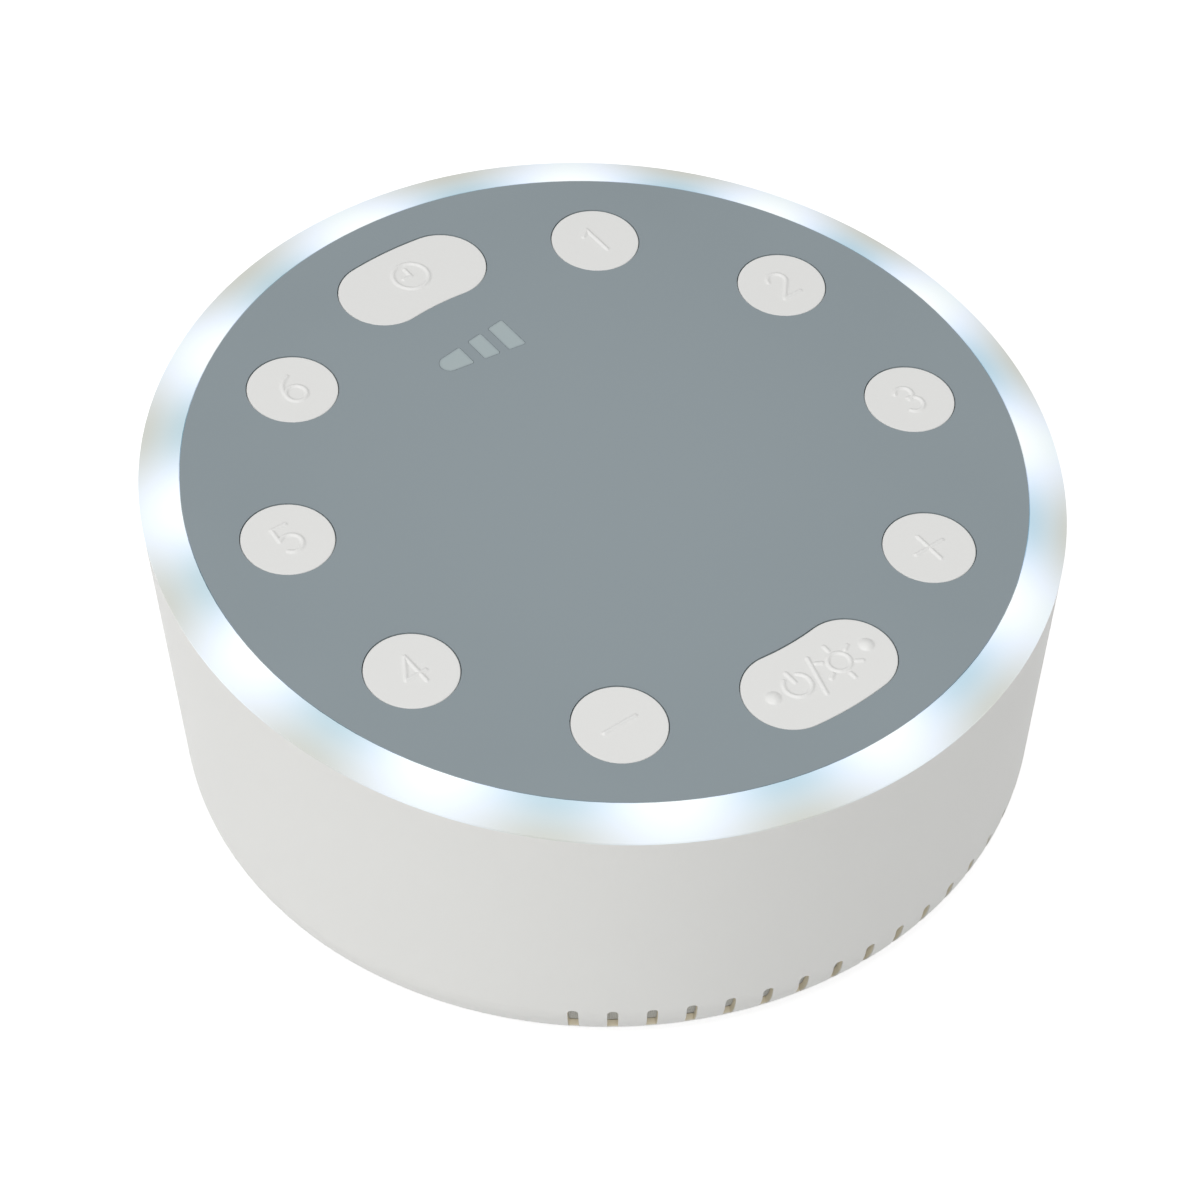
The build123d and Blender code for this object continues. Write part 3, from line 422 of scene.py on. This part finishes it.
def shell_with_shade_in_openings():
    """Satin white paint outside. On the walls of the openings and on the inside the colour
    turns to a warm beige, a painted warm shade for the shaded inside of the sound windows.
    How deep a point lies under the outside is the outer radius at its height less its own radius."""
    # the warm beige is painted warm shade for the inside of the openings, not a colour of the plastic
    paint, warm_shade = srgb(231, 231, 228), srgb(230, 221, 198)
    finish = Finish("white_shell", paint, 0.48)
    x, y, z = (value * 1000 for value in finish.split(finish.place()))
    under = (z * -1 + CORNER_HEIGHT).most(0)
    corner = (under * under * -1 + CORNER_RADIUS ** 2).most(0) ** 0.5 + (BASE_RADIUS - CORNER_RADIUS)
    lean = (z - CORNER_HEIGHT).most(0) * WALL_SLANT
    depth = corner + lean - (x * x + y * y) ** 0.5
    inside = depth.ramp(0.12, 0.3) * z.ramp(1.2, 1.8)
    drift = finish.noise(DRIFT_SCALE)
    outer = finish.mix(drift, tuple(c * 0.988 for c in paint), tuple(c * 1.01 for c in paint))
    # painted warm shade: deeper than the outside and above the underside the colour turns warm beige
    finish.set("Base Color", finish.mix(inside, outer, warm_shade))
    finish.set("Roughness", inside * 0.12 + 0.48)
    finish.bump(finish.noise(GRAIN_SCALE, 1.0), 0.000012)
    return finish.material


def satin_panel():
    """The key panel's satin paint, a shade lighter in the middle than at the edge: a painted soft
    reflection of the lamps.
    """
    middle, edge = srgb(144, 155, 160), srgb(138, 149, 154)
    finish = Finish("grey_panel", middle, 0.40)
    x, up = on_panel(finish)
    # painted reflection: the colour is lighter towards the middle of the panel
    outward = ((x * x + up * up) ** 0.5).ramp(8, 58)
    shade = finish.mix(outward, middle, edge)
    finish.set("Base Color", finish.mix(finish.noise(DRIFT_SCALE), shade, tuple(c * 0.99 for c in middle)))
    finish.bump(finish.noise(1800, 1.0), 0.000004)
    return finish.material


def smoked_window():
    """The three bars of the level indicator: pale and milky, and fading into the panel's
    grey along their edges, where the light guide under them is thinner."""
    finish = Finish("clear_window", srgb(164, 178, 180), 0.36)
    x, up = on_panel(finish)
    v = (up - BAR_CENTRE).do("ABSOLUTE")
    growth = (BAR_RIGHT[1] - BAR_TIP[1]) / (BAR_RIGHT[0] - BAR_TIP[0])
    past_tip = x - BAR_TIP[0]
    to_side = past_tip.most(0) * growth + BAR_TIP[1] - v
    back = past_tip.least(0)
    to_tip = (back * back + v * v) ** 0.5 * -1 + BAR_TIP[1]
    to_end = None
    for low, high in BAR_SPANS:
        gap = (x - low).least(x * -1 + high)
        to_end = gap if to_end is None else to_end.most(gap)
    beyond_tip = past_tip.most(0) * 9
    inward = to_side.least(to_end).least(to_tip + beyond_tip)
    milky = finish.mix(finish.noise(160), srgb(166, 180, 184), srgb(172, 183, 183))
    thin_edge = srgb(144, 156, 161)
    finish.set("Base Color", finish.mix(inward.ramp(0.0, 0.4, 0.5, 1.0), thin_edge, milky))
    return finish.material


def screen_weave():
    """A plain weave of fine grey yarn: threads go over and under in turn, so the height
    is the larger of two waves that run round the wall and up it. The colour is painted
    darker where the height is low, as shade between the threads."""
    finish = Finish("screen_weave", srgb(204, 205, 202), 0.85)
    x, y, z = (value * 1000 for value in finish.split(finish.place()))
    round_wall = y.do("ARCTAN2", x) * (BASE_RADIUS * math.pi / THREAD_PITCH)
    up_wall = z * (math.pi / THREAD_PITCH)
    warp = round_wall.do("SINE").do("ABSOLUTE")
    weft = up_wall.do("SINE").do("ABSOLUTE")
    thread = warp.most(weft)
    # painted shade: darker where the weave is low, between the threads
    finish.set("Base Color", finish.mix(thread, srgb(176, 177, 174), srgb(216, 217, 214)))
    finish.bump(thread, 0.00008)
    return finish.material


def opal_glow():
    """The opal ring, lit from below by a circle of lights. The glow is white over each light
    and falls to a dim level between two. The dim level is blue at the panel, greyer in the
    middle of the ring and warm at the rim, and a little bluer and brighter to the front
    right. Red falls off first, which leaves a blue fringe round each white spot. The lights
    at the back stand a little wider apart than the rest."""
    blue, grey, warm = (0.13, 0.25, 0.325, 1), (0.20, 0.25, 0.265, 1), (0.22, 0.20, 0.15, 1)
    back_left, front_right = (0.92, 0.9, 0.85, 1), (1.08, 1.1, 1.15, 1)
    finish = Finish("opal_ring", srgb(178, 186, 188), 0.32)
    x, up = on_panel(finish)
    out = ((x * x + up * up) ** 0.5 - POCKET_RADIUS) / (RIM_RADIUS - POCKET_RADIUS)
    angle = up.do("ARCTAN2", x)
    wider = angle.do("COSINE") * angle.do("SINE").most(0) * 0.105
    near_light = ((angle + wider) * LED_COUNT).do("COSINE") * 0.5 + 0.5
    dim = finish.mix(out.ramp(0, 0.6), blue, grey)
    dim = finish.mix(out.ramp(0.4, 1), dim, warm)
    shade = finish.mix((x - up) * 0.006 + 0.5, back_left, front_right)
    dim = finish.mix(1.0, dim, shade, "MULTIPLY")
    over_light = finish.mix(out, (0.64, 0.66, 0.81, 1), (0.45, 0.48, 0.55, 1))
    brightest = finish.mix(out, (0.63, 0.635, 0.64, 1), (0.54, 0.505, 0.50, 1))
    glow = finish.mix(near_light, dim, over_light)
    finish.set("Emission Color", finish.mix(1.0, glow, brightest, "DARKEN"))
    finish.set("Emission Strength", 1.0)
    return finish.material


FINISHES = {
    "white_shell": shell_with_shade_in_openings(),
    "key_white": moulded("key_white", srgb(231, 231, 229), 0.46, grain=0.000006),
    "opal_ring": opal_glow(),
    "grey_panel": satin_panel(),
    "clear_window": smoked_window(),
    "silicone": moulded("silicone", srgb(205, 207, 204), 0.55),
    "carbon_pill": Finish("carbon_pill", srgb(30, 30, 32), 0.6).material,
    "circuit_board": moulded("circuit_board", srgb(22, 92, 58), 0.38, spread=0.06),
    "led": Finish("led", srgb(236, 232, 205), 0.35).material,
    "chip_black": moulded("chip_black", srgb(34, 34, 36), 0.5),
    "capacitor_can": metal("capacitor_can", srgb(196, 198, 200), 0.3),
    "connector_white": Finish("connector_white", srgb(222, 219, 205), 0.45).material,
    "screw_steel": metal("screw_steel", srgb(186, 186, 184), 0.3),
    "pressed_steel": metal("pressed_steel", srgb(160, 162, 164), 0.36),
    "foam": moulded("foam", srgb(48, 48, 50), 0.95, grain=0.0001, grain_scale=1500),
    "surround_rubber": Finish("surround_rubber", srgb(26, 26, 27), 0.6).material,
    "cone_paper": moulded("cone_paper", srgb(52, 51, 50), 0.85, grain=0.00006, grain_scale=900,
                          spread=0.1),
    "coil_copper": metal("coil_copper", srgb(196, 116, 70), 0.3),
    "ferrite": moulded("ferrite", srgb(58, 58, 60), 0.62),
    "terminal_board": Finish("terminal_board", srgb(150, 104, 58), 0.6).material,
    "contact_steel": metal("contact_steel", srgb(202, 202, 198), 0.26),
    "cell_jacket": moulded("cell_jacket", srgb(64, 66, 70), 0.34, grain=0.000002),
    "wire_sleeve": Finish("wire_sleeve", srgb(170, 40, 36), 0.42).material,
    "foot_rubber": moulded("foot_rubber", srgb(196, 196, 192), 0.7),
    "screen_weave": screen_weave(),
}

for part in frame["record"]["subparts"]:
    materials = frame["nodes"][part["node"]].data.materials
    materials.clear()
    materials.append(FINISHES[part["material_slot"]])

for key_name in KEY_ORDER:
    cap = key_cap(key_name)
    cap.data.materials.append(FINISHES["key_white"])
    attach(cap, key_name)
    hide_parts(key_name)
    pills = key_pills(key_name)
    pills.data.materials.append(FINISHES["carbon_pill"])
    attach(pills, key_name)
    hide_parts("key_contacts")


# ------------------------------------------------------------------------------ studio
def floor_plate():
    """A wide flat floor under the feet, a square of 12 m."""
    half = 6.0
    corners = np.array([(-half, -half, 0), (half, -half, 0), (half, half, 0), (-half, half, 0)])
    floor = mesh_piece("studio_floor", corners, [(0, 1, 2, 3)])
    finish = Finish("studio_floor", srgb(200, 200, 200), 0.9)
    path = finish.tree.nodes.new("ShaderNodeLightPath")
    seen = Value(finish, path.outputs["Is Camera Ray"])
    for ray in ("Is Glossy Ray", "Is Transmission Ray"):
        seen = seen.do("MAXIMUM", Value(finish, path.outputs[ray]))
    finish.set("Emission Color", finish.mix(seen, (0, 0, 0, 1), (0.70, 0.70, 0.70, 1)))
    finish.set("Emission Strength", 1.0)
    floor.data.materials.append(finish.material)


def soft_box(name, place, size, power, target=(0, 0, 0.03)):
    """A square lamp that faces the machine."""
    lamp = bpy.data.lights.new(name, "AREA")
    lamp.shape, lamp.size, lamp.size_y, lamp.energy = "RECTANGLE", size, size, power
    box = bpy.data.objects.new(name, lamp)
    box.location = place
    away = Vector(place) - Vector(target)
    box.rotation_euler = away.to_track_quat("Z", "Y").to_euler()
    bpy.context.scene.collection.objects.link(box)


def studio_world(level):
    """Even light from all round; the camera and reflections see plain white."""
    world = bpy.data.worlds.new("studio")
    world.use_nodes = True
    bpy.context.scene.world = world
    tree = world.node_tree
    plain = tree.nodes["Background"]
    plain.inputs["Color"].default_value = (1, 1, 1, 1)
    plain.inputs["Strength"].default_value = level
    white = tree.nodes.new("ShaderNodeBackground")
    white.inputs["Color"].default_value = (1, 1, 1, 1)
    white.inputs["Strength"].default_value = 1.0
    path = tree.nodes.new("ShaderNodeLightPath")
    either = tree.nodes.new("ShaderNodeMixShader")
    tree.links.new(path.outputs["Is Camera Ray"], either.inputs[0])
    tree.links.new(plain.outputs[0], either.inputs[1])
    tree.links.new(white.outputs[0], either.inputs[2])
    tree.links.new(either.outputs[0], tree.nodes["World Output"].inputs["Surface"])


def stand_camera():
    """The camera stands at a height and bearing round the panel's centre, and is then
    turned a little sideways and down, so that the machine sits low in the frame."""
    distance, height_angle, bearing = 488.8, math.radians(42.1355), math.radians(38.2716)
    pan, tilt = 0.0019, 0.0381
    c, s = math.cos(bearing), math.sin(bearing)
    back = Vector((-math.cos(height_angle) * s, -math.cos(height_angle) * c,
                   math.sin(height_angle)))
    ahead, right = -back, Vector((c, -s, 0))
    up = right.cross(ahead)
    x_axis = math.cos(pan) * right + math.sin(pan) * ahead
    turned = math.cos(pan) * ahead - math.sin(pan) * right
    y_axis = math.cos(tilt) * up + math.sin(tilt) * turned
    view = math.cos(tilt) * turned - math.sin(tilt) * up
    lens = bpy.data.cameras.new("camera")
    lens.sensor_width, lens.lens = 36.0, 104.7
    camera = bpy.data.objects.new("camera", lens)
    place = (Vector((0, 0, PANEL_Z)) + distance * back) * MM
    camera.matrix_world = Matrix.Translation(place) @ Matrix(
        [x_axis, y_axis, -view]).transposed().to_4x4()
    bpy.context.scene.collection.objects.link(camera)
    bpy.context.scene.camera = camera


floor_plate()
studio_world(0.50)
soft_box("side_light", (-1.63, 0.23, 0.95), 1.0, 9.8)
soft_box("front_light", (-0.585, -0.75, 1.645), 1.0, 12.8)
stand_camera()
bpy.context.scene.view_settings.view_transform = "Standard"
